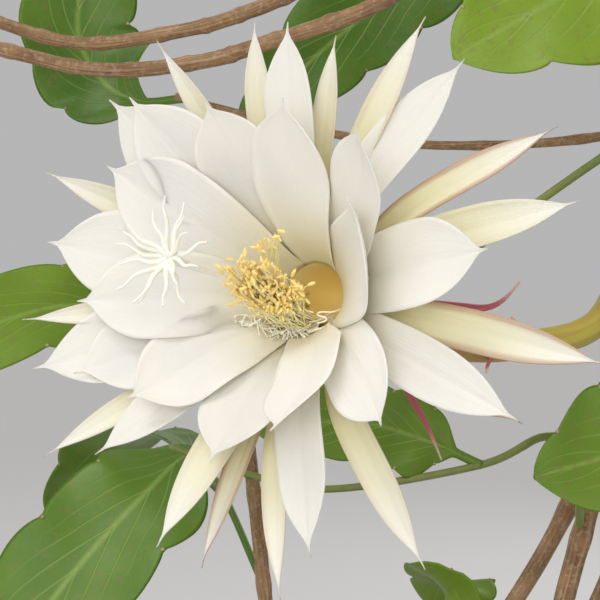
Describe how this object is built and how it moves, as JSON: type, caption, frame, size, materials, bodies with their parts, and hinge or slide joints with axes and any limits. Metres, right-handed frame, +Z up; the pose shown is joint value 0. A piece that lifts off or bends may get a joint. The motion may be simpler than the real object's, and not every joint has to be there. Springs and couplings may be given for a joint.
{
  "type": "potted night-blooming cactus",
  "caption": "Night-blooming cactus with flattened notched stems and an open many-petalled bloom, rooted in soil in a plain round pot.",
  "frame": {"origin": "centre of the pot's flat base, on the surface the pot stands on", "axes": "+Z up along the pot's axis; the flower looks towards -Y and a little towards -X; +X to the picture's right"},
  "size_m": [0.5795, 0.4459, 0.797],
  "materials": {
    "terracotta": "unglazed fired clay",
    "soil": "moist crumbly potting soil",
    "cane": "matt bark",
    "shoot": "smooth waxy green",
    "cladode": "waxy succulent green",
    "floral_tube": "smooth waxy, with pink bracts",
    "tepal": "silky translucent white",
    "stamen": "pollen-dusted pale yellow",
    "pistil": "waxy cream"
  },
  "bodies": {
    "root": {"pot": "terracotta", "soil": "soil", "cane_1": "cane", "cane_2": "cane", "cane_3": "cane", "cane_4": "cane", "branch": "cane", "shoot": "shoot", "spray": "shoot", "cladode_flower": "cladode", "cladode_top_right": "cladode", "cladode_left": "cladode", "cladode_low_left": "cladode", "cladode_low_middle": "cladode", "cladode_behind": "cladode", "cladode_high": "cladode", "cladode_top_left": "cladode", "cladode_arm_end": "cladode", "cladode_arm_tip": "cladode", "cladode_crown": "cladode", "cladode_cane_tip": "cladode", "cladode_right": "cladode", "cladode_back_right": "cladode", "cladode_back_high": "cladode", "cladode_back": "cladode", "cladode_back_left": "cladode", "cladode_front_low": "cladode", "cladode_low_back": "cladode", "cladode_base_front": "cladode", "cladode_base_right": "cladode", "cladode_base_back": "cladode", "cladode_base_left": "cladode", "floral_tube": "floral_tube", "perianth": "tepal", "stamens": "stamen", "pistil": "pistil"}
  },
  "joints": []
}
